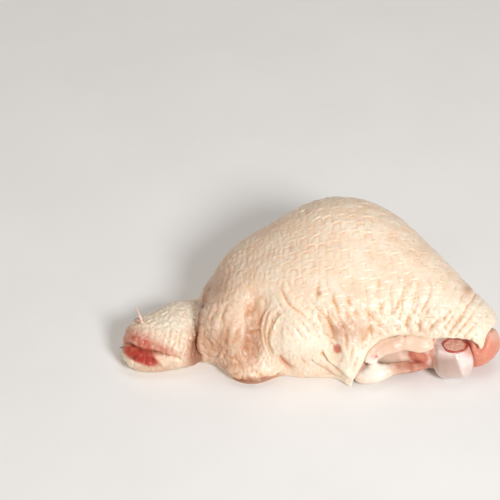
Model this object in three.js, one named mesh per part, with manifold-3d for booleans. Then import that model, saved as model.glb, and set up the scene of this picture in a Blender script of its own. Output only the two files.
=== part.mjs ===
// A raw chicken thigh, bone in and skin on, with its strip of back and its tail, lying skin side up.
// Millimetres. +X runs from the tail to the knee, +Y away from the side where the cut shows, +Z up.
import * as THREE from 'three';
import { mergeVertices } from 'three/addons/utils/BufferGeometryUtils.js';
import Module from 'manifold-3d';

const SKIN = 2.4; // the skin's thickness, with the fat that stays on it
const GAP = 0.4; // clearance between pieces that touch on the real thigh

// Grid steps of the rounded surfaces: finer where the skin shows, coarser where it lies on the flesh.
const FINE_STEP = 3.9;
const COARSE_STEP = 6.5;
const SMALL_STEP = 2.9;

// The folds and the cut are laid out as seen from the front, from 40 degrees above the table:
// s runs right, t runs up the view, and t is 0 where the foremost edge meets the table.
const SEEN_FROM = THREE.MathUtils.degToRad(40);
const FRONT = -47;
const SIGHT = new THREE.Vector3(0, Math.cos(SEEN_FROM), -Math.sin(SEEN_FROM));
const upView = (p) => p.z * Math.cos(SEEN_FROM) + (p.y - FRONT) * Math.sin(SEEN_FROM);

const clamp01 = (x) => Math.min(Math.max(x, 0), 1);
const ramp = (low, high, x) => {
  const t = clamp01((x - low) / (high - low));
  return t * t * (3 - 2 * t);
};

// Two fields joined, with a soft crease of the given width.
function join(a, b, width) {
  const h = Math.max(width - Math.abs(a - b), 0) / width;
  return Math.min(a, b) - h * h * width * 0.25;
}

// The distance field of a rounded lump: negative inside, about true millimetres near its surface.
// A power of 2 is an ellipsoid, and a higher one is boxier.
function lump({ at, radii, turn = 0, tilt = 0, power = 2 }) {
  const centre = new THREE.Vector3(...at);
  const angles = new THREE.Euler(0, THREE.MathUtils.degToRad(-tilt), THREE.MathUtils.degToRad(turn), 'ZYX');
  const undo = new THREE.Matrix4().makeRotationFromEuler(angles).invert();
  const q = new THREE.Vector3();
  return (p) => {
    q.copy(p).sub(centre).applyMatrix4(undo);
    const share = [q.x, q.y, q.z].map((x, i) => Math.abs(x) / radii[i]);
    const near = share.reduce((sum, x) => sum + x ** power, 0) ** (1 / power);
    if (near < 1e-3) return -Math.min(...radii);
    const slope = Math.hypot(...share.map((x, i) => (x / near) ** (power - 1) / radii[i]));
    return (near - 1) / slope;
  };
}

// How far a point is, as seen from the front, from a curve through the given (s, t) points.
function curveOnView(points) {
  const curve = new THREE.SplineCurve(points.map(([s, t]) => new THREE.Vector2(s, t)));
  const line = curve.getPoints(4 * points.length);
  const q = new THREE.Vector2();
  const along = new THREE.Vector2();
  return (p) => {
    let best = Infinity;
    for (let i = 1; i < line.length; i++) {
      along.subVectors(line[i], line[i - 1]);
      q.set(p.x, upView(p)).sub(line[i - 1]);
      const share = clamp01(q.dot(along) / along.lengthSq());
      best = Math.min(best, q.addScaledVector(along, -share).length());
    }
    return best;
  };
}

// A furrow, or with a negative depth a ridge, that follows such a curve on the side that faces the view.
function furrow(points, width, depth) {
  const away = curveOnView(points);
  return (p) => depth * Math.exp(-((away(p) / width) ** 2));
}

// The plump masses under the skin.
const mound = lump({ at: [6, -2, 14], radii: [51, 41, 33], power: 2.1 });
const crown = lump({ at: [19, 13, 27.5], radii: [32, 27, 27], turn: -12 });
const slope = lump({ at: [44, -4, 21], radii: [30, 20, 23], turn: -36 });
const knee = lump({ at: [60, -22, 12], radii: [24, 20, 21], turn: -30 });
const knob = lump({ at: [75, -25, 19], radii: [10, 12, 12] });
const flank = lump({ at: [-32, -22, 14], radii: [17, 17, 19], turn: -25, power: 2.4 });
const underfold = lump({ at: [-25, -36, 4], radii: [14, 10, 7.5] });
const bulge = lump({ at: [-5, -27, 13], radii: [20, 14, 17] });
const bunch = lump({ at: [20, -40, 8], radii: [10, 9, 14] });
// The end of the muscle at the knee, with the skin that partly covers it.
const muscleEnd = lump({ at: [76, -29.5, 12], radii: [13.4, 14, 14] });

// The strip of back that runs behind the flank, and the tail that grows from it.
const back = lump({ at: [-38, 0, 4], radii: [13, 23, 14] });
const stem = lump({ at: [-50, -12, 6], radii: [15, 12, 9] });
const tailRoot = lump({ at: [-57.5, -21, 9], radii: [13, 20, 12.5] });
const tailTip = lump({ at: [-73, -26, 8], radii: [13, 15, 11] });

// The large folds of the skin, from left to right.
const FOLDS = [
  furrow([[-25, 11], [-27, 22], [-25, 31], [-20, 41]], 4, 4),
  furrow([[-11, 12], [-16, 20], [-16, 28], [-11, 36]], 3.6, 2.2),
  furrow([[15, 2], [11, 14], [9, 24]], 3.6, 2.6),
  furrow([[25, 6], [25, 16], [28, 27]], 3.6, 2),
];
// Where the tail goes in behind the flank.
const neck = furrow([[-44, 44], [-47, 36], [-48, 26], [-47.5, 17]], 2.4, 3);
// The slit across the end of the tail.
const slit = furrow([[-85, 22], [-75, 16.5], [-68, 14.5], [-59, 11.5]], 3.4, 2.5);

// What the skin is drawn over.
function masses(p) {
  let d = join(mound(p), crown(p), 14);
  d = join(d, join(slope(p), knee(p), 14), 14);
  d = join(d, knob(p), 6);
  d = join(d, flank(p), 5);
  d = join(d, muscleEnd(p), 4);
  d = join(d, bulge(p), 7);
  d = join(d, bunch(p), 7);
  d = join(d, back(p), 6);
  const towardsView = -p.dot(SIGHT);
  d += FOLDS.reduce((sum, fold) => sum + fold(p), 0) * ramp(2, 14, towardsView);
  const tail = join(tailRoot(p), tailTip(p), 10) + slit(p);
  return join(join(d, stem(p), 6), tail, 6) + neck(p) * ramp(2, 10, towardsView);
}
// A fat fold of the skin itself lies under the flank.
const body = (p) => join(masses(p), underfold(p), 3);

// Surface nets: one vertex in each grid cell that the surface crosses, and one quad across each grid
// edge that it crosses. The surface has to stay clear of the grid's outermost cells.
function polygonise(field, low, high, step) {
  const count = low.map((l, i) => Math.ceil((high[i] - l) / step) + 1);
  const at = (i, j, k) => new THREE.Vector3(low[0] + i * step, low[1] + j * step, low[2] + k * step);
  const index = (i, j, k) => (k * count[1] + j) * count[0] + i;
  const values = new Float64Array(count[0] * count[1] * count[2]);
  for (let k = 0; k < count[2]; k++)
    for (let j = 0; j < count[1]; j++)
      for (let i = 0; i < count[0]; i++) values[index(i, j, k)] = field(at(i, j, k));
  const corners = [0, 1, 2, 3, 4, 5, 6, 7].map((c) => [c & 1, (c >> 1) & 1, c >> 2]);
  const edges = [];
  for (let a = 0; a < 8; a++) for (const bit of [1, 2, 4]) if (!(a & bit)) edges.push([a, a | bit]);
  const vertexOf = new Map();
  const positions = [];
  for (let k = 0; k < count[2] - 1; k++)
    for (let j = 0; j < count[1] - 1; j++)
      for (let i = 0; i < count[0] - 1; i++) {
        const v = corners.map(([a, b, c]) => values[index(i + a, j + b, k + c)]);
        const sum = new THREE.Vector3();
        let n = 0;
        for (const [a, b] of edges) {
          if (v[a] < 0 === v[b] < 0) continue;
          const t = v[a] / (v[a] - v[b]);
          sum.add(new THREE.Vector3(...corners[a]).lerp(new THREE.Vector3(...corners[b]), t));
          n++;
        }
        if (!n) continue;
        vertexOf.set(index(i, j, k), positions.length / 3);
        const p = sum.multiplyScalar(step / n).add(at(i, j, k));
        positions.push(p.x, p.y, p.z);
      }
  const indices = [];
  const around = [[1, 2], [2, 0], [0, 1]];
  for (let k = 0; k < count[2] - 1; k++)
    for (let j = 0; j < count[1] - 1; j++)
      for (let i = 0; i < count[0] - 1; i++)
        for (let axis = 0; axis < 3; axis++) {
          const here = [i, j, k];
          const next = here.slice();
          next[axis]++;
          const inside = values[index(...here)] < 0;
          if (inside === values[index(...next)] < 0) continue;
          const [b, c] = around[axis];
          const cell = (db, dc) => {
            const q = here.slice();
            q[b] -= db;
            q[c] -= dc;
            return vertexOf.get(index(...q));
          };
          const quad = [cell(0, 0), cell(1, 0), cell(1, 1), cell(0, 1)];
          if (!inside) quad.reverse();
          indices.push(quad[0], quad[1], quad[2], quad[0], quad[2], quad[3]);
        }
  const geometry = new THREE.BufferGeometry();
  geometry.setAttribute('position', new THREE.Float32BufferAttribute(positions, 3));
  geometry.setIndex(indices);
  return geometry;
}

const wasm = await Module();
wasm.setup();

function merged(geometry) {
  const bare = geometry.clone();
  for (const name of Object.keys(bare.attributes)) if (name !== 'position') bare.deleteAttribute(name);
  return mergeVertices(bare, 1e-4);
}

function solidOf(geometry) {
  const g = merged(geometry);
  const mesh = { numProp: 3, vertProperties: g.attributes.position.array, triVerts: new Uint32Array(g.index.array) };
  return new wasm.Manifold(new wasm.Mesh(mesh));
}

function geometryOf(solid) {
  const { vertProperties, triVerts } = solid.getMesh();
  const geometry = new THREE.BufferGeometry();
  geometry.setAttribute('position', new THREE.BufferAttribute(vertProperties, 3));
  geometry.setIndex(new THREE.BufferAttribute(triVerts, 1));
  return geometry;
}

// The same closed surface moved out by a distance, or in by a negative one.
function swell(geometry, distance) {
  const g = merged(geometry);
  g.computeVertexNormals();
  const place = g.attributes.position;
  const normal = g.attributes.normal;
  for (let i = 0; i < place.count; i++)
    place.setXYZ(
      i,
      place.getX(i) + normal.getX(i) * distance,
      place.getY(i) + normal.getY(i) * distance,
      place.getZ(i) + normal.getZ(i) * distance,
    );
  return g;
}
const clearOf = (solid) => solidOf(swell(geometryOf(solid), GAP));

// All that is above a height.
function above(height) {
  const size = 260;
  return solidOf(new THREE.BoxGeometry(size, size, size).translate(0, 0, height + size / 2));
}

const LOW = [-96, -64, -30];
const HIGH = [96, 60, 66];

// The whole piece as its skin covers it, and the flesh that this leaves inside.
const whole = solidOf(polygonise(body, LOW, HIGH, FINE_STEP)).intersect(above(0));
const fleshSurface = polygonise((p) => masses(p) + SKIN, LOW, HIGH, COARSE_STEP);

// The cut where skin and flesh were opened at the knee, drawn on the view and run straight back.
function kneeCut(inset) {
  const shape = new THREE.Shape();
  shape.moveTo(17 + inset, -12);
  shape.lineTo(96, -12);
  shape.lineTo(96, 31 - inset);
  shape.lineTo(88, 30 - inset);
  const rim = [
    [81 + inset, 27], [78.6 + inset, 22.6], [77.4 + inset, 19 - inset], [76, 17 - inset],
    [75.2 - inset, 19.5 - inset], [72.5, 22 - inset], [62.7, 23 - inset], [49.4, 22.6 - inset],
    [41.9, 23.6 - inset], [33 + inset, 21.6 - inset], [28.5 + inset, 18.6], [25.6 + inset, 14.6],
    [22.9 + inset, 9.5], [20.5 + inset, 5],
  ];
  shape.splineThru(rim.map(([s, t]) => new THREE.Vector2(s, t)));
  shape.closePath();
  const depth = 130;
  const prism = new THREE.ExtrudeGeometry(shape, { depth, bevelEnabled: false, curveSegments: 2 });
  const up = new THREE.Vector3(0, Math.sin(SEEN_FROM), Math.cos(SEEN_FROM));
  const frame = new THREE.Matrix4().makeBasis(new THREE.Vector3(1, 0, 0), up, SIGHT.clone().negate());
  const origin = new THREE.Vector3(0, FRONT, 0).addScaledVector(SIGHT, depth / 2);
  return solidOf(prism.applyMatrix4(frame.setPosition(origin)));
}

// The bare flesh on the underside, inside the hem of skin that the piece rests on.
function underside(inset, low, high) {
  const shape = new THREE.Shape();
  shape.absellipse(9, -3, 42 - inset, 30 - inset, 0, 2 * Math.PI, false, -0.1);
  const plug = new THREE.ExtrudeGeometry(shape, { depth: high - low, bevelEnabled: false, curveSegments: 16 });
  return solidOf(plug.translate(0, 0, low));
}

// The thigh bone: the shaft that runs to the hip, and the joint end with its gristle, sawn flat on top.
const KNEE_END = new THREE.Vector3(64, -36, 11);
const HIP_END = new THREE.Vector3(-14, 2, 20);
const BONE_CUT = 17;
function boneParts() {
  const left = lump({ at: [62, -39, 8.3], radii: [6.6, 7, 7.8] });
  const right = lump({ at: [68.6, -38.5, 8], radii: [5.6, 6.6, 7.4] });
  const top = lump({ at: [64.6, -36.6, 14], radii: [7.4, 6.2, 7] });
  const joint = solidOf(polygonise((p) => join(join(left(p), right(p), 2), top(p), 4), LOW, HIGH, SMALL_STEP));
  const length = KNEE_END.distanceTo(HIP_END);
  const profile = [[0, 0], [6.5, 0], [4.8, 16], [4.6, length / 2], [5, length - 10], [4, length - 2], [0, length]];
  const shaft = new THREE.LatheGeometry(profile.map(([r, y]) => new THREE.Vector2(r, y)), 12);
  const lie = new THREE.Quaternion().setFromUnitVectors(
    new THREE.Vector3(0, 1, 0),
    HIP_END.clone().sub(KNEE_END).normalize(),
  );
  shaft.applyQuaternion(lie).translate(...KNEE_END.toArray());
  const saw = new THREE.Vector3(24, 26, 40); // wider than the joint, and ends on the far side of its middle
  const sawn = solidOf(new THREE.BoxGeometry(...saw.toArray()).translate(65, -43, BONE_CUT + saw.z / 2));
  return [solidOf(shaft), joint].map((part) => part.intersect(above(0)).subtract(sawn));
}

const [shaftSolid, jointSolid] = boneParts();
const femur = shaftSolid.add(jointSolid);
const boneSpace = clearOf(shaftSolid).add(clearOf(jointSolid));
const skin = whole
  .subtract(solidOf(fleshSurface).intersect(above(SKIN)))
  .subtract(underside(0, -1, SKIN + 1))
  .subtract(kneeCut(0))
  .subtract(boneSpace);

// Fat that hangs from the skin's edge and lines the left and lower sides of the cut.
const FAT = [
  lump({ at: [49, -38.5, 19.2], radii: [8, 3.6, 3.2], tilt: 4 }),
  lump({ at: [36.5, -38.5, 18.4], radii: [7.4, 3.4, 3.4], tilt: 22 }),
  lump({ at: [28, -41, 14.6], radii: [3.8, 4, 3.8] }),
  lump({ at: [29, -42.5, 5.4], radii: [9.5, 4.6, 4.2], tilt: 16 }),
  lump({ at: [45, -37.5, 4.2], radii: [11, 4, 2.8], turn: 8 }),
];
const fatField = (p) => FAT.reduce((d, part) => join(d, part(p), 3), Infinity);
const fat = solidOf(polygonise(fatField, LOW, HIGH, SMALL_STEP))
  .intersect(above(0.6))
  .intersect(kneeCut(GAP))
  .subtract(boneSpace);

// The flesh: hollowed where the cut shows and over the bone's sawn face, with a low muscle along the
// bottom of the hollow.
const hollow = lump({ at: [50, -49, 12], radii: [26, 11.5, 15], power: 2.6 });
const overBone = lump({ at: [64.8, -39, 21], radii: [8, 8, 7], power: 4 });
const lowMuscle = lump({ at: [50, -27, 4], radii: [24, 10, 8] });
const meat = solidOf(swell(fleshSurface, -GAP))
  .intersect(above(SKIN + GAP))
  .add(underside(1, 1, SKIN + 3))
  .subtract(solidOf(polygonise((p) => join(hollow(p), overBone(p), 2), LOW, HIGH, SMALL_STEP)))
  .add(solidOf(polygonise(lowMuscle, LOW, HIGH, COARSE_STEP)).intersect(above(1)).intersect(kneeCut(GAP)))
  .subtract(clearOf(fat))
  .subtract(boneSpace);

const thigh = new THREE.Group();
function place(name, solid, color, roughness) {
  const material = new THREE.MeshStandardMaterial({ color, roughness, metalness: 0 });
  const mesh = new THREE.Mesh(geometryOf(solid), material);
  mesh.name = name;
  thigh.add(mesh);
}
place('skin', skin, '#f5dcb9', 0.45);
place('meat', meat, '#dda890', 0.35);
place('fat', fat, '#f4d9bb', 0.35);
place('femur', femur, '#e8d0c4', 0.3);

// The origin is on the table, under the middle of the piece.
const middle = new THREE.Box3().setFromObject(thigh).getCenter(new THREE.Vector3());
thigh.position.set(-middle.x, -middle.y, 0);

export default thigh;
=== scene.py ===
"""A raw chicken thigh with its strip of back and its tail, skin side up, on a pale studio floor."""

from math import cos, pi, radians, sin

import bmesh
import bpy
import numpy as np
from mathutils import Matrix, Vector
from mathutils.bvhtree import BVHTree


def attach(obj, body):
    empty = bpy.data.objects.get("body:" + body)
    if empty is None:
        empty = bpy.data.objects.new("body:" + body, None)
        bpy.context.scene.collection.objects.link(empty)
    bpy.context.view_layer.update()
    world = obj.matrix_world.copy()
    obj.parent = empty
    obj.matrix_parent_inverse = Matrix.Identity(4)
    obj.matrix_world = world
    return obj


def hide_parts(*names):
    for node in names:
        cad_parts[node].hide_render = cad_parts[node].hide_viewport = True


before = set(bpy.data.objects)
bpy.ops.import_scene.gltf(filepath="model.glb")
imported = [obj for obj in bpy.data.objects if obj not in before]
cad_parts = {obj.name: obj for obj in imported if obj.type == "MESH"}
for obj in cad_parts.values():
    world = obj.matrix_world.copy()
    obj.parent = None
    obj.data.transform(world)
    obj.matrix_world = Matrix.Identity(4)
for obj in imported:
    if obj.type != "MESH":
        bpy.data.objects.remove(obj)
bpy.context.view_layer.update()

MM = 0.001

# The photograph's view. Marks on the surface are laid out in its pixel frame.
ELEVATION = radians(40)
DISTANCE = 0.9
AIM = np.array([-0.0269, 0.0028, 0.0416])
TO_CAMERA = np.array([0, -cos(ELEVATION), sin(ELEVATION)])
UP_IN_VIEW = np.array([0, sin(ELEVATION), cos(ELEVATION)])
PIXELS = 500
FOCAL_PIXELS = 2000
CAMERA_AT = AIM + TO_CAMERA * DISTANCE
RIGHT, DOWN = 0, 1  # the axes of the pixel frame
PIXEL_MM = 0.45  # the size of one pixel on the thigh

# Edge lengths of the meshes, in millimetres.
SKIN_EDGE = 1.02
FLESH_EDGE = 1.3
SMALL_EDGE = 0.8

DEEPEST = 40 * MM  # past this the skin's depth over the flesh makes no difference
CLEAR_OF_SKIN = 0.8  # where a line of sight starts over the skin, in millimetres
OFF_FLOOR = 0.3  # the lowest that flesh, fat and bone come, in millimetres
BY_THE_BONE = ((51.5, -30.6, 9.2), (6.0, 3.4, 5.6))  # flesh that fills a gap: centre and radii in millimetres


# ---------------------------------------------------------------- numbers

def ramp(low, high, x):
    """0 at low, 1 at high, with a smooth rise between."""
    t = np.clip((x - low) / (high - low), 0, 1)
    return t * t * (3 - 2 * t)


def scattered(cells, seed):
    """A steady random number from 0 to 1 for each row of whole numbers."""
    primes = np.array([374761393, 668265263, 2147483647])
    k = cells.astype(np.int64) @ primes[:cells.shape[1]] + seed * 97531
    k = (k ^ (k >> 13)) * 1274126177
    return ((k ^ (k >> 16)) & 0xFFFF) / 0xFFFF


def noise(points, size, seed):
    """Smooth noise from -1 to 1, with features about one size across, in millimetres."""
    shift = 31.7
    q = points / (size * MM) + shift * seed
    cell = np.floor(q)
    t = q - cell
    t = t * t * (3 - 2 * t)
    total = np.zeros(len(points))
    for corner in np.ndindex(2, 2, 2):
        value = 2 * scattered(cell + corner, 0) - 1
        total += value * np.prod(np.where(np.array(corner) == 1, t, 1 - t), axis=1)
    return total


def puffs(points, size, seed):
    """Cells about one size across, in millimetres: 0 on the border between two cells, 1 well inside one."""
    shift, border, fullness = 17.3, 0.6, 0.6
    q = points / (size * MM) + shift * seed
    home = np.floor(q)
    near = np.full(len(q), np.inf)
    second = near.copy()
    for step in np.ndindex(3, 3, 3):
        cell = home + np.array(step) - 1
        centre = cell + np.stack([scattered(cell, seed + k) for k in (1, 2, 3)], axis=1)
        far = np.linalg.norm(q - centre, axis=1)
        second = np.minimum(second, np.maximum(near, far))
        near = np.minimum(near, far)
    return np.clip((second - near) / border, 0, 1) ** fullness


def seen(points):
    """Where points show in the photograph's frame, in pixels."""
    away = points - CAMERA_AT
    depth = -(away @ TO_CAMERA)
    right = PIXELS / 2 + FOCAL_PIXELS * away[:, 0] / depth
    down = PIXELS / 2 - FOCAL_PIXELS * (away @ UP_IN_VIEW) / depth
    return right, down


def patch(at, centre, radii, turn, soft):
    """1 inside an ellipse of the pixel frame and 0 outside, with a soft edge."""
    x = at[RIGHT] - centre[RIGHT]
    y = at[DOWN] - centre[DOWN]
    c, s = cos(radians(turn)), sin(radians(turn))
    r = np.hypot((x * c + y * s) / radii[0], (y * c - x * s) / radii[1])
    return 1 - ramp(1 - soft, 1 + soft, r)


def patches(at, table):
    """The sum of a table's patches, each with a strength after its centre, radii, turn and softness."""
    return sum(strength * patch(at, *shape) for *shape, strength in table)


def blotched(at, table, blotch):
    """The sum of a table's patches, each broken up by blotches as far as its last number says."""
    return sum(patches(at, [row[:-1]]) * (1 - row[-1] * (1 - blotch)) for row in table)


def zone(at, sides):
    """1 inside a part of the pixel frame and 0 outside, from its sides: axis, place of 0 and place of 1."""
    inside = np.ones(len(at[RIGHT]))
    for axis, none, full in sides:
        inside *= ramp(none, full, at[axis])
    return inside


def curve_through(points):
    """A smooth curve through the points, with a few steps from each point to the next."""
    steps = 6
    p = np.array(points, float)
    p = np.vstack([2 * p[0] - p[1], p, 2 * p[-1] - p[-2]])
    t = np.linspace(0, 1, steps, endpoint=False)[:, None]
    parts = []
    for a, b, c, d in zip(p, p[1:], p[2:], p[3:]):
        parts.append(0.5 * (2 * b + (c - a) * t + (2 * a - 5 * b + 4 * c - d) * t**2
                            + (3 * b - a - 3 * c + d) * t**3))
    return np.vstack(parts + [p[-2:-1]])


def near_route(at, route, reach):
    """For the points in reach of a route: which, how far off in signed pixels, how far along from 0 to 1."""
    line = curve_through(route)
    p = np.stack(at, axis=1)
    which = np.nonzero(((p > line.min(0) - reach) & (p < line.max(0) + reach)).all(1))[0]
    p = p[which]
    best = np.full(len(p), np.inf)
    off = np.zeros(len(p))
    along = np.zeros(len(p))
    for i in range(len(line) - 1):
        d = line[i + 1] - line[i]
        share = np.clip((p - line[i]) @ d / (d @ d), 0, 1)
        gap = p - line[i] - share[:, None] * d
        far = np.hypot(gap[:, 0], gap[:, 1])
        closer = far < best
        best[closer] = far[closer]
        side = np.sign(d[0] * gap[:, 1] - d[1] * gap[:, 0])
        off[closer] = (far * side)[closer]
        along[closer] = ((i + share) / (len(line) - 1))[closer]
    return which, off, along


def band(at, route, half_width, rise=0.2, fall=(1, 0.8)):
    """A soft band along a route, with its half width in pixels, that fades in and out at its ends."""
    which, off, along = near_route(at, route, 3 * half_width)
    strength = np.zeros(len(at[RIGHT]))
    strength[which] = np.exp(-((off / half_width) ** 2)) * ramp(0, rise, along) * ramp(*fall, along)
    return strength


# ---------------------------------------------------------------- meshes

def read(elements, name, width, kind=np.float32):
    values = np.empty(len(elements) * width, kind)
    elements.foreach_get(name, values)
    return values.reshape(-1, width)


def places(mesh):
    return read(mesh.vertices, "co", 3).astype(float)


def normals_of(mesh):
    return read(mesh.vertex_normals, "vector", 3).astype(float)


def edges_of(mesh):
    return read(mesh.edges, "vertices", 2, np.int32)


def put(mesh, co):
    mesh.vertices.foreach_set("co", co.astype(np.float32).ravel())
    mesh.update()


def smoothed(values, edges, rounds, amount=0.5):
    """The values at the vertices, each drawn towards its neighbours' mean by one amount or its own."""
    count = np.bincount(edges.ravel(), minlength=len(values)).astype(float)
    flat = values.reshape(len(values), -1).copy()
    share = np.broadcast_to(np.asarray(amount, float).reshape(-1, 1), (len(values), 1))
    a, b = edges[:, 0], edges[:, 1]
    for _ in range(rounds):
        for k in range(flat.shape[1]):
            column = flat[:, k]
            mean = (np.bincount(a, column[b], len(column)) + np.bincount(b, column[a], len(column))) / count
            flat[:, k] = column + share[:, 0] * (mean - column)
    return flat.reshape(values.shape)


def applied(piece, kind, **settings):
    """Makes a modifier part of the piece's mesh."""
    modifier = piece.modifiers.new(kind, kind)
    for name, value in settings.items():
        setattr(modifier, name, value)
    graph = bpy.context.evaluated_depsgraph_get()
    mesh = bpy.data.meshes.new_from_object(piece.evaluated_get(graph))
    piece.modifiers.clear()
    piece.data = mesh


def new_object(name, data):
    thing = bpy.data.objects.new(name, data)
    bpy.context.scene.collection.objects.link(thing)
    return thing


def ringed(bm, base, rings, tip):
    """Adds a closed surface that runs from a base point over rings of points to a tip."""
    base = bm.verts.new(base)
    rows = [[bm.verts.new(point) for point in ring] for ring in rings]
    tip = bm.verts.new(tip)
    for k in range(len(rows[0])):
        n = (k + 1) % len(rows[0])
        bm.faces.new((base, rows[0][n], rows[0][k]))
        bm.faces.new((tip, rows[-1][k], rows[-1][n]))
        for row, following in zip(rows, rows[1:]):
            bm.faces.new((row[k], row[n], following[n], following[k]))


def piece_of(bm, name):
    """A new piece from a finished bmesh."""
    bmesh.ops.recalc_face_normals(bm, faces=bm.faces)
    mesh = bpy.data.meshes.new(name)
    bm.to_mesh(mesh)
    bm.free()
    return new_object(name, mesh)


def piece_from(node, name, edge, fine_box=None, lumps=()):
    """A CAD node's shape and more lumps, in faces of one edge length, split where they show in a box."""
    mesh = cad_mesh(node).copy()
    mesh.materials.clear()
    bm = bmesh.new()
    bm.from_mesh(mesh)
    bmesh.ops.remove_doubles(bm, verts=bm.verts, dist=1e-6)
    for centre, radii in lumps:
        shape = Matrix.LocRotScale(Vector(centre) * MM, None, Vector(radii) * MM)
        bmesh.ops.create_icosphere(bm, subdivisions=3, radius=1, matrix=shape)
    bm.to_mesh(mesh)
    bm.free()
    piece = new_object(name, mesh)
    applied(piece, "REMESH", mode="VOXEL", voxel_size=edge * MM, use_smooth_shade=True)
    piece.data.name = name
    if fine_box:
        left, top, right, bottom = fine_box
        at = seen(places(piece.data))
        inside = (at[RIGHT] > left) & (at[RIGHT] < right) & (at[DOWN] > top) & (at[DOWN] < bottom)
        subdivide(piece, inside & (normals_of(piece.data) @ TO_CAMERA > -0.2))
    return piece


def subdivide(piece, chosen):
    """Splits each face whose corners are all chosen into four."""
    bm = bmesh.new()
    bm.from_mesh(piece.data)
    bm.verts.ensure_lookup_table()
    faces = [f for f in bm.faces if all(chosen[v.index] for v in f.verts)]
    edges = list({e for f in faces for e in f.edges})
    bmesh.ops.subdivide_edges(bm, edges=edges, cuts=1, use_grid_fill=True)
    bm.to_mesh(piece.data)
    bm.free()
    piece.data.update()


def store(piece, **shares):
    """Keeps shares from 0 to 1 at a piece's points, by name."""
    for name, values in shares.items():
        layer = piece.data.attributes.new(name, "FLOAT", "POINT")
        layer.data.foreach_set("value", np.clip(values, 0, 1).astype(np.float32))


def stored(piece, name):
    return read(piece.data.attributes[name].data, "value", 1)[:, 0].astype(float)


def cad_mesh(node):
    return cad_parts[node].data


def tree_over(*meshes):
    """A search tree over the faces of meshes."""
    corners, faces = [], []
    for mesh in meshes:
        start = len(corners)
        corners += [v.co.copy() for v in mesh.vertices]
        faces += [[start + i for i in f.vertices] for f in mesh.polygons]
    return BVHTree.FromPolygons(corners, faces)


def in_sight(mesh):
    """1 where the photograph's camera sees a point, 0 where another part of the piece hides it."""
    tree = tree_over(mesh)
    normals = normals_of(mesh)
    start = places(mesh) + normals * CLEAR_OF_SKIN * MM
    ray = CAMERA_AT - start
    sight = np.ones(len(start))
    for i in np.nonzero(normals @ TO_CAMERA > -0.1)[0]:
        if tree.ray_cast(Vector(start[i]), Vector(ray[i]))[0] is not None:
            sight[i] = 0
    return ramp(0.25, 0.75, smoothed(sight, edges_of(mesh), 5))


def hollow_depth(co, normals, edges, rounds):
    """How far each point lies in under the smoothed surface, in millimetres."""
    return ((smoothed(co, edges, rounds) - co) * normals).sum(1) / MM


def raised(mesh, co, normals, height):
    """Moves points out along their normals by a height in millimetres, but not into the floor."""
    co = co + normals * (height * MM)[:, None]
    co[:, 2] = np.maximum(co[:, 2], OFF_FLOOR * MM)
    put(mesh, co)
    return co


def finish_piece(piece, node, material):
    """Gives a piece its material and says what it rides on and which node it replaces."""
    for polygon in piece.data.polygons:
        polygon.use_smooth = True
    piece.data.materials.append(material)
    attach(piece, "root")
    if node:
        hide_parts(node)
    return piece


# ---------------------------------------------------------------- materials

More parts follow.
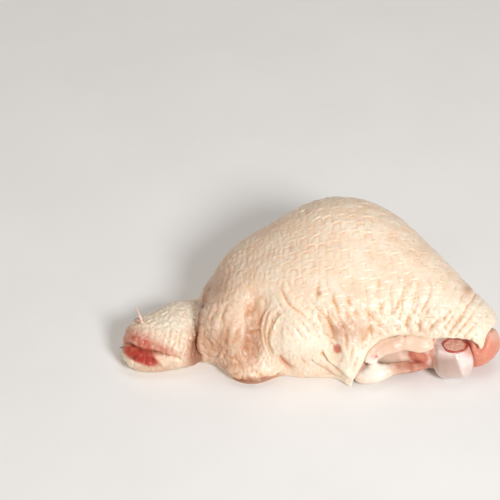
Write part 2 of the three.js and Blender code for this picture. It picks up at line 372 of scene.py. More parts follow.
class Nodes:
    """A material's node tree, with short calls for the nodes used here. Colours are 0 to 255 on screen."""

    def __init__(self, name):
        self.material = bpy.data.materials.new(name)
        self.material.use_nodes = True
        self.tree = self.material.node_tree
        self.shader = self.tree.nodes["Principled BSDF"]
        self.coordinates = self.tree.nodes.new("ShaderNodeTexCoord").outputs["Object"]

    def feed(self, socket, value):
        """Links a node's output to a socket, or sets the socket to a number or a colour."""
        if isinstance(value, (int, float)):
            socket.default_value = value
        elif isinstance(value, tuple):
            socket.default_value = (*linear(value), 1)
        else:
            self.tree.links.new(value, socket)

    def node(self, kind, **inputs):
        """A new node with its inputs fed."""
        node = self.tree.nodes.new("ShaderNode" + kind)
        for name, value in inputs.items():
            self.feed(node.inputs[name.replace("_", " ")], value)
        return node

    def set(self, **values):
        for name, value in values.items():
            self.shader.inputs[name.replace("_", " ")].default_value = value

    def attribute(self, name):
        node = self.node("Attribute")
        node.attribute_name = name
        return node.outputs["Fac"]

    def noise(self, size, detail=3.0, roughness=0.55, distortion=0.0, stretch=None):
        vector = self.coordinates
        if stretch:
            mapping = self.node("Mapping", Vector=vector)
            mapping.inputs["Scale"].default_value = stretch
            vector = mapping.outputs["Vector"]
        scale = 1 / (size * MM)
        pattern = self.node("TexNoise", Vector=vector, Scale=scale, Detail=detail, Roughness=roughness)
        self.feed(pattern.inputs["Distortion"], distortion)
        return pattern.outputs["Fac"]

    def cells(self, size):
        return self.node("TexVoronoi", Scale=1 / (size * MM), Vector=self.coordinates).outputs["Distance"]

    def ranged(self, source, low, high, to_low=0.0, to_high=1.0):
        node = self.node("MapRange", Value=source, From_Min=low, From_Max=high, To_Min=to_low, To_Max=to_high)
        node.interpolation_type = "SMOOTHSTEP"
        return node.outputs["Result"]

    def times(self, a, b):
        node = self.node("Math")
        node.operation = "MULTIPLY"
        node.use_clamp = True
        self.feed(node.inputs[0], a)
        self.feed(node.inputs[1], b)
        return node.outputs["Value"]

    def mix(self, share, a, b):
        node = self.node("Mix")
        node.data_type = "RGBA"
        sockets = {socket.identifier: socket for socket in [*node.inputs, *node.outputs]}
        self.feed(sockets["Factor_Float"], share)
        self.feed(sockets["A_Color"], a)
        self.feed(sockets["B_Color"], b)
        return sockets["Result_Color"]

    def mottled(self, size, detail, first, second):
        """Two colours in soft blotches about one size across."""
        return self.mix(self.ranged(self.noise(size, detail), 0.35, 0.65), first, second)

    def flecked(self, base, pattern, low, high, share, tint):
        """The base with a share of a tint where a pattern is high."""
        return self.mix(self.ranged(pattern, low, high, 0, share), base, tint)

    def tinted(self, base, *tints):
        """The base with tints laid over it, each the name of a stored share, its strength and a colour."""
        for name, strength, tint in tints:
            base = self.mix(self.times(self.attribute(name), strength), base, tint)
        return base

    def base_colour(self, source):
        self.feed(self.shader.inputs["Base Color"], source)

    def soft(self, depth, roughness, coat, radius=(1.0, 0.45, 0.25)):
        """Sets how far light goes in, in millimetres, and how wet the surface looks."""
        self.set(Subsurface_Weight=0.35, Subsurface_Scale=depth * MM, Subsurface_Radius=radius)
        self.set(Roughness=roughness, Coat_Weight=coat, Coat_Roughness=0.18)

    def bump(self, *layers):
        """Layers of relief, each a height and how many millimetres it stands."""
        normal = {}
        for height, millimetres in layers:
            node = self.node("Bump", Strength=1, Distance=millimetres * MM, Height=height, **normal)
            normal = {"Normal": node.outputs["Normal"]}
        self.feed(self.shader.inputs["Normal"], normal["Normal"])


def linear(screen):
    """A colour given as 0 to 255 on screen, as the linear values that the shader takes."""
    return tuple(((v / 255 + 0.055) / 1.055) ** 2.4 for v in screen)


def skin_look():
    look = Nodes("raw chicken skin")
    cream, warm, fleck, blood = (250, 231, 208), (244, 217, 190), (238, 203, 168), (196, 72, 44)
    base = look.mottled(9, 4, cream, warm)
    base = look.flecked(base, look.noise(2.2, 5, 0.6), 0.48, 0.75, 0.5, fleck)
    # Tints: the first is painted light, paler where the light falls brightest; the second is painted shade in
    # creases and hollows; the brown is real brown marks and painted shade.
    base = look.tinted(
        base,
        ("pale", 1, (253, 243, 224)),
        ("crease", 1, (231, 170, 116)),
        ("brown", 0.85, (184, 118, 78)),
    )
    uneven = look.ranged(look.noise(3.0, 5, 0.6), 0.3, 0.62, 0.78, 1.0)
    base = look.mix(look.times(look.attribute("red"), uneven), base, blood)
    # The dark tint is mostly painted shade: in the slit, by the flank and under its lower edge.
    look.base_colour(look.tinted(base, ("raw", 0.85, (176, 42, 22)), ("dark", 1, (96, 38, 22))))
    look.soft(1.6, 0.42, 0.25)
    look.bump((look.noise(0.55, 3, 0.6), 0.05), (look.cells(1.3), 0.05), (look.noise(2.5, 2), 0.12))
    return look.material


def flesh_look():
    look = Nodes("raw chicken flesh")
    pink, deep_pink = (241, 198, 178), (230, 174, 152)
    pale_fibre, pale_streak = (244, 208, 186), (232, 168, 138)
    fibre = look.noise(1.1, 4, 0.6, 0.6, (0.35, 1.2, 1.2))
    base = look.mottled(5, 4, pink, deep_pink)
    base = look.flecked(base, fibre, 0.45, 0.7, 0.5, pale_fibre)
    # The first tint is painted shade in the flesh's hollows.
    base = look.tinted(
        base,
        ("crease", 0.7, (190, 112, 88)),
        ("tan", 1, (246, 220, 198)),
        ("pale", 1, (250, 232, 216)),
        ("salmon", 1, (224, 138, 110)),
    )
    streak = look.ranged(look.noise(1.3, 4, 0.6, 0.4, (0.4, 1, 0.4)), 0.45, 0.7, 0, 0.4)
    base = look.mix(look.times(look.attribute("salmon"), streak), base, pale_streak)
    look.base_colour(look.tinted(base, ("red", 1, (224, 124, 96)), ("dark", 1, (150, 30, 24))))
    look.soft(1.8, 0.42, 0.25, (1.0, 0.4, 0.28))
    look.bump((fibre, 0.3), (look.noise(0.6, 3), 0.06))
    return look.material


def fat_look():
    look = Nodes("raw chicken fat")
    cream, warm, pale_fleck, faint_vein = (248, 224, 198), (240, 208, 178), (252, 236, 214), (222, 140, 116)
    base = look.mottled(4, 4, cream, warm)
    base = look.flecked(base, look.noise(1.0, 4, 0.6), 0.55, 0.75, 0.4, pale_fleck)
    base = look.flecked(base, look.noise(3.1, 5, 0.7, 1.2), 0.60, 0.68, 0.25, faint_vein)
    # The pink tint: real pink patches, with painted shade in the fat's hollows.
    look.base_colour(look.tinted(
        base,
        ("white", 1, (253, 242, 230)),
        ("pink", 1, (238, 200, 178)),
        ("flesh", 1, (190, 118, 98)),
        ("vein", 1, (206, 90, 76)),
    ))
    look.soft(2.2, 0.42, 0.2)
    look.bump((look.noise(0.8, 3), 0.12), (look.noise(2.6, 2), 0.2))
    return look.material


def bone_look():
    look = Nodes("gristle over bone")
    pearl, warm_pearl = (243, 229, 222), (236, 214, 206)
    base = look.mottled(5, 3, pearl, warm_pearl)
    look.base_colour(look.tinted(base, ("shade", 1, (190, 160, 146)), ("blush", 1, (228, 158, 134))))
    look.soft(2.0, 0.22, 0.6, (0.9, 0.6, 0.5))
    look.bump((look.noise(1.0, 2), 0.05), (look.noise(0.4, 2), 0.02))
    return look.material


def marrow_look():
    look = Nodes("marrow in the sawn bone")
    pink, pale_cell, red_fleck = (236, 172, 150), (247, 206, 184), (224, 142, 120)
    spongy = look.cells(0.9)
    base = look.mix(look.ranged(spongy, 0.15, 0.6), pink, pale_cell)
    base = look.flecked(base, look.noise(1.6, 4, 0.6), 0.45, 0.65, 0.5, red_fleck)
    look.base_colour(look.tinted(base, ("rim", 1, (192, 74, 58))))
    look.soft(1.2, 0.3, 0.4, (1.0, 0.3, 0.2))
    look.bump((spongy, 0.25), (look.noise(0.5, 3), 0.08))
    return look.material


def quill_look():
    look = Nodes("quill stub")
    pearl, pink = (240, 214, 200), (224, 184, 166)
    look.base_colour(look.tinted(look.mottled(1.5, 3, pearl, pink), ("brown", 1, (112, 66, 48))))
    look.set(Roughness=0.45)
    look.bump((look.noise(0.4, 2), 0.03))
    return look.material


def floor_look():
    look = Nodes("pale floor")
    white, grey = (246, 245, 243), (243, 242, 240)
    look.base_colour(look.mix(look.ranged(look.noise(60, 3), 0.3, 0.7), white, grey))
    look.set(Roughness=0.7)
    return look.material


# ---------------------------------------------------------------- places and sizes on the piece

# Folds in the pixel frame: the route, its half width and depth in millimetres, and the height of the lip
# along its left side, or along its right side where it has a minus sign.
FOLDS = [
    # Streaks down the valley, and the small fold across it.
    ([(261, 293), (254, 306), (248, 315), (245, 324)], 0.8, 0.7, 0.3),
    ([(268, 300), (261, 314), (258, 324), (256, 331)], 0.8, 0.7, 0.3),
    ([(244, 337), (250, 333), (257, 331), (262, 333)], 0.8, 0.9, 0.8),
    ([(251, 341), (246, 349), (246, 357), (250, 366)], 0.9, 0.8, 0.4),
    # The nested arcs round the bulge.
    ([(284, 304), (272, 308), (266, 317), (264, 331), (266, 345), (271, 356), (278, 364)], 0.6, 0.8, 0.4),
    ([(296, 307), (280, 311), (273, 319), (269, 331), (268, 341), (271, 350), (275, 356), (283, 362)],
     0.8, 1.2, 0.6),
    ([(274, 303), (265, 308), (260, 318), (259, 331), (261, 343), (266, 355), (273, 364)], 0.5, 0.6, 0.3),
    ([(290, 309), (279, 315), (273, 326), (271, 337)], 0.5, 0.6, 0.3),
    ([(279, 350), (281, 358), (287, 365), (296, 370)], 0.9, 1.3, 0.5),
    ([(283, 322), (281, 333), (285, 342)], 0.7, 0.5, 0.2),
    ([(300, 353), (304, 362), (311, 367)], 0.9, 0.7, 0.3),
    ([(312, 318), (318, 332), (319, 345)], 0.9, 0.5, 0.2),
    # The crease that runs from the dome down between the bulge and the bunch.
    ([(278, 283), (285, 299), (292, 307), (303, 315), (315, 325)], 0.9, 0.9, 0.4),
    ([(310, 296), (316, 307), (324, 315), (329, 323), (332, 331), (334, 339), (338, 345)], 1.0, 1.4, 0.5),
    # The gathers over the bunch.
    ([(320, 277), (318, 287), (317, 296), (315, 303)], 0.8, 0.7, 0.5),
    ([(333, 288), (333, 298), (336, 305), (340, 313)], 0.8, 0.9, 0.5),
    ([(329, 305), (331, 312), (334, 320), (340, 328)], 0.8, 0.7, 0.3),
    ([(350, 293), (349, 301), (352, 308)], 0.8, 0.9, 0.5),
    ([(344, 308), (347, 315), (350, 321)], 0.8, 0.8, 0.4),
    ([(357, 305), (356, 312), (360, 318)], 0.8, 0.9, 0.5),
    ([(366, 296), (365, 305), (368, 312), (374, 319), (380, 324), (383, 332)], 0.9, 0.9, 0.5),
    ([(384, 298), (381, 309), (380, 318)], 0.8, 0.7, 0.4),
    ([(402, 290), (398, 304), (394, 313)], 0.8, 0.8, 0.4),
    ([(410, 310), (407, 322), (405, 331)], 0.9, 1.0, 0.5),
    ([(418, 300), (415, 310), (413, 316)], 0.8, 0.6, 0.3),
    ([(424, 314), (419, 326), (420, 336)], 0.9, 1.1, 0.5),
    ([(433, 302), (427, 312), (426, 320)], 0.8, 0.7, 0.4),
    ([(442, 315), (432, 326), (428, 333)], 0.9, 1.0, 0.5),
    ([(455, 305), (446, 316), (441, 326)], 0.9, 0.8, 0.4),
    ([(466, 308), (457, 320), (451, 330)], 0.9, 0.8, 0.4),
    # The bunch: ridges that run together towards its foot.
    ([(362, 347), (366, 339), (370, 331), (373, 324)], 1.0, 1.2, -0.5),
    ([(345, 330), (346, 342), (347, 355)], 0.8, 0.7, 0.4),
    ([(354, 333), (353, 345), (351, 357), (350, 370)], 0.8, 0.7, 0.4),
    ([(360, 352), (356, 362), (352, 374)], 0.8, 0.7, 0.4),
    ([(331, 360), (336, 367), (343, 373), (349, 378)], 1.0, 1.3, 0.7),
    ([(314, 360), (325, 367), (333, 374), (346, 381)], 1.0, 1.0, 0.6),
    ([(319, 350), (326, 357), (331, 364)], 0.9, 0.6, 0.3),
    # The left flap's curved ridges.
    ([(235, 314), (227, 330), (225, 344), (227, 352)], 1.0, 0.9, 0.5),
    ([(244, 318), (237, 328), (234, 338), (228, 347)], 0.9, 0.8, 0.5),
    ([(234, 344), (235, 356), (239, 364), (241, 372)], 1.0, 0.9, 0.5),
    ([(203, 330), (210, 342), (216, 350), (215, 362)], 1.0, 0.9, 0.5),
    ([(214, 333), (217, 344), (222, 353)], 0.9, 0.7, 0.4),
    ([(227, 349), (224, 356), (220, 364)], 0.9, 0.8, 0.4),
    ([(221, 305), (214, 316), (209, 328)], 0.9, 0.7, 0.4),
    ([(231, 300), (224, 312), (219, 325)], 0.8, 0.6, 0.4),
    ([(228, 368), (236, 374), (246, 377), (258, 377)], 1.0, 1.0, 0.5),
    ([(250, 368), (258, 373), (268, 375), (284, 373)], 1.0, 1.0, 0.5),
]

# Edges where skin lies over skin: the route, how far the raised side stands out and hangs over and how far
# the other side drops, in millimetres, and 1 if the left side is raised or -1 if the right one is.
EDGES = [
    # The flank over the tail.
    ([(216, 282), (209, 296), (205, 308), (203, 318), (202, 332), (200, 346), (204, 358)], 1.2, 2.2, 2.0, 1),
    # The left flap over the tan valley.
    ([(240, 276), (246, 292), (242, 306), (242, 316), (245, 328), (241, 338), (233, 348)], 0.8, 1.2, 0.8, -1),
    # The flank's lower edge over the fold beneath it.
    ([(222, 362), (227, 368), (234, 375), (243, 378), (252, 379), (262, 376), (272, 374), (286, 370)],
     0.8, 1.4, 2.2, 1),
    # The petals of skin at the foot of the bunch.
    ([(322, 346), (326, 355), (332, 363), (342, 370), (352, 380)], 0.7, 0.7, 0.8, 1),
    ([(310, 357), (318, 364), (328, 371), (338, 378)], 0.6, 0.6, 0.8, 1),
]

# Broad hollows: the route, its half width and its depth in millimetres.
HOLLOWS = [
    ([(262, 288), (256, 305), (252, 325), (251, 345), (255, 364)], 4.4, 1.5),
    ([(296, 292), (310, 312), (326, 332), (336, 352), (346, 374)], 3.0, 1.3),
    ([(224, 312), (222, 330), (221, 346), (219, 362)], 2.6, 0.9),
    ([(204, 328), (211, 340), (214, 356)], 2.2, 0.6),
    ([(365, 352), (366, 340), (372, 328)], 2.6, 1.0),
]
# Every patch in the tables below is an ellipse: its centre and radii in pixels, its turn in degrees, how soft
# its edge is, and its strength, or its height in millimetres.
SWELLINGS = [
    ((294, 336), (24, 28), 0, 0.7, 1.2),
    ((234, 326), (9, 18), 8, 0.7, 0.8),
    ((212, 342), (8, 14), -10, 0.7, 0.6),
    ((352, 352), (13, 22), -10, 0.7, 0.7),
    ((240, 360), (10, 12), 20, 0.7, 0.6),
    # The bowl of the tail's slit, and the small bump on the slope towards the knee.
    ((141, 356), (14, 5), 24, 0.4, -0.9),
    ((470, 286), (6, 10), 20, 0.6, 1.2),
]
FAINTER_FOLLICLES = [((296, 345), (30, 34), 0, 0.4, 0.5)]
UPRIGHT_RIDGES = [((178, 344), (16, 15), 0, 0.5, 0.55)]
FOOT_LOBES = [((232, 366), (40, 13), 28, 0.5, 0.9)]
RIM = [((425, 339), (54, 7), 0, 0.5, 1)]

# Colours on the skin, painted light and shade among them. A sixth number says how far blotches break a patch
# up.
SPOT_SOFTNESS = 0.8
SPOTS = [
    # Small tan spots: the centre, the radius and the strength.
    ((319.5, 293.5), 2.2, 0.6), ((394, 312), 2.2, 0.4), ((409.5, 284.5), 1.6, 0.35), ((487, 317), 1.6, 0.4),
    ((429, 281), 2.4, 0.3), ((292, 248), 2.6, 0.25), ((308, 213), 2.6, 0.25), ((374, 313), 2.4, 0.35),
]
# Brown: real brown zones and the bump towards the knee, with painted shade in the tan valley, on the left
# flap and, over the fold's own brown, under the flank's lower edge.
BROWN_AND_SHADE = [
    ((253, 330), (10, 36), 0, 0.4, 0.55, 0),
    ((415, 330), (40, 8), 0, 0.6, 0.30, 1),
    ((350, 330), (20, 16), 0, 0.6, 0.35, 0),
    ((228, 352), (26, 26), 30, 0.6, 0.5, 0.5),
    ((347, 332), (13, 9), 10, 0.6, 0.55, 1),
    ((468, 290), (5, 9), 25, 0.8, 0.7, 0.7),
    ((258, 382.5), (33, 8), -4, 0.3, 0.95, 0.2),
]
# Painted shade on the tail: its right side in the gap by the flank, and its lower edge.
SHADE_ON_TAIL = [((198, 350), (11, 26), 10, 0.6, 1), ((165, 374), (34, 9), 6, 0.6, 0.45)]
TAN_OF_TAIL = 0.02
RED = [((337.5, 349), (4.2, 4.6), 0, 0.35, 0.9), ((286, 362), (9, 4), 40, 0.6, 0.45)]
BLOOD = [((141, 356), (18, 7), 24, 0.35, 1.3)]
BLUSH = [((138, 342), (24, 10), 22, 0.8, 0.95), ((166, 351), (16, 4), 15, 0.8, 0.45)]
RAW = [((141, 357), (17, 6), 24, 0.4, 1)]
# Dark: painted shade along the fold under the flank's lower edge; on the tail, a real dark spot and painted
# shade by the flank.
SHADE_UNDER_FLANK = [((250, 380.5), (22, 3), 0, 0.6, 0.45, 0.5)]
SPOT_AND_SHADE_ON_TAIL = [((133.5, 358), (2.2, 2.2), 0, 0.6, 0.6), ((199, 350), (7, 18), 8, 0.7, 0.5)]
# Painted light: paler patches where the light falls brightest, on the bunch, the lower right, the bulge and
# the tail's top.
PAINTED_LIGHT = [
    ((358, 362), (16, 26), 20, 0.5, 0.8),
    ((430, 318), (60, 26), 0, 0.6, 0.55),
    ((300, 330), (30, 30), 0, 0.6, 0.5),
    ((172, 318), (34, 16), -12, 0.8, 0.6),
]

# Parts of the pixel frame, each a list of sides.
DOME = [(DOWN, 340, 315), (RIGHT, 250, 292)]
GATHERED = [(DOWN, 268, 300), (RIGHT, 268, 290), (RIGHT, 489, 474), (DOWN, 345, 333)]
STREAKED = [(RIGHT, 208, 222), (RIGHT, 300, 268), (DOWN, 225, 250), (DOWN, 330, 300)]
LEFT_PART = [(RIGHT, 300, 225)]
LOW_PART = [(DOWN, 290, 330)]
# Painted shade: parts of the thigh's left side that darken into tan away from the light, each with its
# strength and how far blotches break it up.
SHADED_LEFT_PARTS = [
    ([(RIGHT, 262, 205), (DOWN, 265, 300)], 0.42, 0.4),
    ([(RIGHT, 330, 240), (DOWN, 305, 270)], 0.16, 0),
    ([(RIGHT, 240, 212), (DOWN, 320, 290)], 0.35, 0),
]

# The gap between tail and flank, along which shade is painted.
CREVICE_SHADE = [(208, 290), (205, 303), (203, 316), (202, 330), (201, 342)]

# The slit across the tail's end and the fold of skin below it.
SLIT = [
    (123, 343), (129, 344), (136, 348), (144, 351), (153, 352),
    (162, 355), (171, 357), (180, 360), (187, 363),
]
TAIL_FOLD = [(151, 353), (156, 359), (161, 363), (166, 367)]
# Half widths in pixels, and depth and height in millimetres.
CREVICE_SHADE_WIDTH, SLIT_WIDTH, SLIT_SHADE_WIDTH, TAIL_FOLD_WIDTH = 2.2, 2.0, 1.5, 2.2
SLIT_DEPTH, TAIL_FOLD_HEIGHT = 1.6, 0.8

# The tail's right end in pixels, and where along X it starts and is full, in millimetres.
TAIL_RIGHT = 203
TAIL_FROM, TAIL_FULL = -42, -46

SHARP = 0.2  # how far a crease's foot is rounded, as a share of its width
EDGE_REACH = 25  # how far an overlapping edge shows, in pixels
PUFF_LEVEL = 0.6  # the share of a puff's height that lies under the smooth skin

# Grooves in the opening, as FOLDS are but without a lip. One with a negative depth is a ridge.
FLESH_GROOVES = [
    ([(366, 366), (380, 363), (396, 366), (410, 368)], 0.8, 0.6, 0),
    ([(424, 347), (429, 355), (437, 362)], 0.8, 0.6, 0),
    ([(476, 360), (483, 354), (488, 345)], 0.9, 0.4, 0),
    ([(400, 351), (406, 356), (409, 364)], 0.7, 0.4, 0),
]
FAT_GROOVES = [
    ([(403, 336), (403, 343), (401, 351)], 0.8, 0.9, 0),
    ([(364, 358), (372, 360), (381, 358)], 0.8, 0.7, 0),
    ([(366, 349), (371, 352), (377, 351)], 0.7, 0.4, 0),
    ([(384, 366), (388, 371), (387, 378)], 0.8, 0.5, 0),
    ([(403, 363), (405, 368), (404, 373)], 0.7, 0.3, 0),
]
BONE_CREASES = [
    ([(455, 353), (456, 361), (459, 369), (463, 377)], 1.3, -0.8, 0),
    ([(437, 340), (438, 347), (441, 354)], 0.9, -0.6, 0),
    ([(441, 353), (448, 356), (458, 357), (470, 353)], 0.8, 0.5, 0),
]
FAT_VEINS = [[(370, 357), (374, 356), (379, 358)], [(373, 360), (376, 356), (376, 353)]]
FAT_VEIN_WIDTH = 0.8

# Boxes of the pixel frame in which faces are split: left, top, right and bottom.
OPENING = (350, 320, 505, 392)
BONE_BOX = (425, 330, 485, 385)

# Where a part of the pixel frame starts and where it is full.
OPENING_LEFT = (350, 358)
MUSCLE_END = (462, 474)
MUSCLE_TOP = (350, 330)

# Patches on the flesh.
GRAIN = [((412, 364), (26, 9), 0, 0.4, 0.3)]
BLOOD_DIP = [((418, 356), (10, 6), 20, 0.3, 0.7)]
BLOOD_SPOT = [((418, 356), (10, 6.2), 22, 0.25, 1)]
BLOOD_MIDDLE = [((418.5, 356), (7.8, 4.4), 22, 0.3, 1)]
BLOOD_ROUND = [((410, 366), (18, 5), 0, 0.6, 0.25)]
TAN_FLESH = [((392, 358), (17, 10), -10, 0.5, 1)]
PALE_FLESH = [((388, 374), (34, 6), 0, 0.5, 0.6)]
STRANDS = [((402, 354.5), (5, 3.4), 20, 0.6, 0.7)]

# Patches and strips on the fat.
FAT_BUMP = [((407, 339), (8, 4), 0, 0.6, 1.2)]
FAT_PINK = [((388, 347), (16, 10), -12, 0.3, 0.7), ((420, 343), (18, 8), 0, 0.5, 0.45)]
FAT_WHITE = [((374, 370), (17, 13), -20, 0.5, 0.9)]
THIN_STRIP = [(RIGHT, 394, 408), (DOWN, 356, 361)]
FLESHY_STRIP = [(RIGHT, 386, 404), (DOWN, 356, 362)]

# The bone end: the ridge between its facets, with its lean to the right per pixel down, and its patches.
RIDGE_RIGHT, RIDGE_DOWN, RIDGE_LEAN = 455, 353, 0.33
FACET_TOP = (351, 361)
BONE_WING = (437, 432)
FACET_DIP = [((464, 359), (4, 3), 0, 0.5, 0.35)]
FACET_MIDDLE = [((448, 366), (11, 10), 0, 0.8, 0.4)]
BONE_SHADE = [((470, 372), (6, 8), 0, 0.5, 0.25)]
BONE_BLUSH = [((470, 349), (7, 7), 20, 0.6, 0.7)]

# The sawn face's centre, and the radii of its marrow, in millimetres.
SAWN_FACE = (64.0, -34.0, 17.0)
MARROW_RADII = (6.0, 4.8)

# Stubs on the tail: the foot in the pixel frame, the way the stub points (right, up and towards the view),
# its length and its radii at foot and tip in millimetres, and how brown it is.
QUILLS = [
    ((124.5, 348), (-1, 0.1, 0.3), 3.2, (0.55, 0.3), 0.9),
    ((141, 322), (-1, 0.35, 0.3), 4.4, (1.3, 0.9), 0.55),
    ((142, 323), (-0.35, 1, 0.35), 9.5, (0.85, 0.12), 0.0),
]

# The follicles stand in staggered rows round the thigh: sizes in millimetres.
ROW = 4.5
COLUMN = 5.7
DASH = 1.35
BODY_RADIUS = 42
BODY_Y, BODY_Z = 1, 8  # the axis that the rows run round
# How the rows tilt: degrees, and the columns of pixels where the tilt is 0 and where it is full.
TILTS = [(13, 455, 420), (-12, 430, 470)]
# The slope towards the knee has fainter follicles: its columns of pixels, which slant with the pixel's row.
KNEE_SLOPE = (425, 475)
KNEE_SLANT, KNEE_LEVEL = 0.3, 250


# ---------------------------------------------------------------- relief and marks of the skin

def creases(at, table, rise=0.2, fall=(1, 0.8)):
    """Creases with rounded sides and a lip along one side, and how far into one each point lies, which sets
    the painted shade of the creases.
    """
    height = np.zeros(len(at[RIGHT]))
    line = height.copy()
    for route, width, depth, lip in table:
        which, off, along = near_route(at, route, 6 * width / PIXEL_MM)
        ends = ramp(0, rise, along) * ramp(*fall, along)
        side = off * PIXEL_MM / width * (1 if lip > 0 else -1)
        crease = np.exp(-np.hypot(side, SHARP)) * ends
        height[which] += abs(lip) * np.exp(-(((side + 2.0) / 1.4) ** 2)) * ends - depth * crease
        line[which] = np.maximum(line[which], crease * ramp(0, 1.2, depth))
    return height, line


def broad_relief(at):
    height = patches(at, SWELLINGS)
    for route, width, depth in HOLLOWS:
        height -= depth * band(at, route, width / PIXEL_MM)
    return height


def edge_relief(at):
    """How far skin stands out by its overlapping edges, and how far it is drawn right and up in the view."""
    height = np.zeros(len(at[RIGHT]))
    drawn = np.zeros((len(at[RIGHT]), 2))
    for route, rise, hang, drop, raised_side in EDGES:
        line = curve_through(route)
        which, off, along = near_route(at, route, EDGE_REACH)
        side = -raised_side * off * PIXEL_MM
        up = ramp(-0.35, 0.35, side)
        ends = ramp(0, 0.2, along) * ramp(1, 0.85, along)
        over = up * np.exp(-np.maximum(side, 0) / 3.0) * ends
        height[which] += over * rise - (1 - up) * drop * np.exp(np.minimum(side, 0) / 2.4) * ends
        heading = np.gradient(line, axis=0)[np.round(along * (len(line) - 1)).astype(int)]
        heading /= np.linalg.norm(heading, axis=1, keepdims=True)
        across = np.stack([-heading[:, 1], -heading[:, 0]], axis=1) * raised_side
        drawn[which] += across * (over * hang)[:, None]
    return height, drawn


def gathers(at, co):
    """The creases that fan out over the lower part of the dome, and how much of one each point is in, for
    their painted shade.
    """
    middle, level, spread, spacing, second_spacing = 380, 300, 130, 11.5, 10
    warp = 2.5 * noise(co, 9, 3) + 1.3 * noise(co, 3.5, 4)
    label = middle + (at[RIGHT] - middle) * np.exp((at[DOWN] - level) / spread) + warp
    crease = 1 - np.abs(np.sin(pi * label / spacing)) ** 0.7
    broken = 0.25 + 0.75 * ramp(-0.5, 0.4, noise(co * [1, 0.6, 0.6], 6, 5))
    label = at[RIGHT] * 0.8 - (at[DOWN] - level) * 0.9 + 3 * noise(co, 7, 17)
    second = (1 - np.abs(np.sin(pi * label / second_spacing)) ** 0.8) * ramp(290, 312, at[DOWN])
    inside = zone(at, GATHERED)
    return -(0.9 * crease * broken + 0.35 * second) * inside, 0.6 * crease**2 * broken * inside


def streaks(at, co):
    """Fine lines that run down the upper left of the dome."""
    lean, level, spacing, depth = 0.18, 280, 5.2, 0.11
    warp = 1.6 * noise(co, 8, 6) + 0.6 * noise(co, 3, 7)
    label = at[RIGHT] + lean * (at[DOWN] - level) + warp
    return depth * np.cos(2 * pi * label / spacing) * zone(at, STREAKED) * ramp(-0.3, 0.4, noise(co, 5, 8))


def follicles(co, tilt):
    """Short raised dashes with a line under each, and a fine crease down from each end."""
    x = co[:, 0] / MM + 0.6 * noise(co, 11, 9)
    round_body = np.arctan2(co[:, 2] / MM - BODY_Z, -(co[:, 1] / MM - BODY_Y))
    v = BODY_RADIUS * round_body + 0.7 * noise(co, 13, 10)
    row_here = np.round(v / ROW)
    height = np.zeros(len(x))
    for down in (-1, 0, 1):
        row = row_here + down
        start = 0.5 * COLUMN * np.mod(row, 2)
        column_here = np.round((x - start) / COLUMN)
        for across in (-1, 0, 1):
            column = column_here + across
            spot = np.stack([row, column], axis=1)
            a = x - column * COLUMN - start - 1.5 * (scattered(spot, 1) - 0.5)
            b = v - row * ROW - 1.2 * (scattered(spot, 2) - 0.5)
            size = 0.25 + 0.75 * scattered(spot, 3)
            turn = tilt + 0.35 * (scattered(spot, 4) - 0.5)
            b = b - a * np.tan(turn)
            window = np.exp(-((a / DASH) ** 4))
            dash = -0.38 * np.exp(-(((b + 0.3) / 0.40) ** 2)) + 0.34 * np.exp(-(((b - 0.55) / 0.6) ** 2))
            legs = np.zeros(len(x))
            for side in (-1, 1):
                slant = side * (1.5 - 0.12 * b)
                legs += np.exp(-np.abs(a - slant) / 0.45) * ramp(0.4, -0.6, b) * ramp(-5.0, -3.0, b)
            height += size * (dash * window - 0.36 * legs)
    return height


def on_tail(at, co):
    """1 on the tail and 0 on the thigh."""
    return ramp(TAIL_RIGHT + 1, TAIL_RIGHT - 2, at[RIGHT]) * ramp(TAIL_FROM * MM, TAIL_FULL * MM, co[:, 0])


def thigh_relief(at, co, front):
    """The small relief of the thigh's skin, and how far into its creases each point lies, for their painted
    shade.
    """
    tilt = sum(radians(turn) * ramp(none, full, at[RIGHT]) for turn, none, full in TILTS)
    knee = ramp(*KNEE_SLOPE, at[RIGHT] - KNEE_SLANT * (at[DOWN] - KNEE_LEVEL))
    dome = zone(at, DOME) * (1 - 0.6 * knee)
    height = follicles(co, tilt) * (front * (0.12 + 0.88 * dome) + 0.7 * (1 - front))
    height *= 1 - patches(at, FAINTER_FOLLICLES) * front
    folds, line = creases(at, FOLDS, 0.45, (1, 0.6))
    gathered, gather_shade = gathers(at, co)
    height += (folds + gathered + streaks(at, co)) * front
    left = zone(at, LEFT_PART) * front
    low = zone(at, LOW_PART) * front
    height += (puffs(co * [1.4, 0.8, 0.7], 3.2, 11) - PUFF_LEVEL) * (0.12 + 0.35 * left + 0.25 * low)
    height += (puffs(co * [1, 0.8, 0.8], 1.8, 12) - PUFF_LEVEL) * (0.10 + 0.10 * left + 0.08 * low)
    height += 0.12 * noise(co, 3.4, 11) + 0.5 * noise(co, 12, 13)
    height += (puffs(co, 4.4, 18) - 0.7) * patches(at, FOOT_LOBES) * front
    return height, np.clip(line + gather_shade, 0, 1) * front


def tail_relief(at, co, front):
    """The lumps of the tail's skin, and upright ridges on its side towards the flank."""
    level, lean, spacing = 345, 0.25, 5.4
    squat = co * [1.2, 0.9, 0.8]
    height = 0.6 * (puffs(squat, 3.6, 14) - PUFF_LEVEL) + 0.3 * noise(co, 5, 15)
    height += 0.3 * (puffs(squat, 1.9, 19) - PUFF_LEVEL)
    label = at[RIGHT] + lean * (at[DOWN] - level) + 1.6 * noise(co, 5, 16)
    ridges = np.abs(np.sin(pi * label / spacing)) ** 0.7 - 0.6
    return height + ridges * patches(at, UPRIGHT_RIDGES) * front


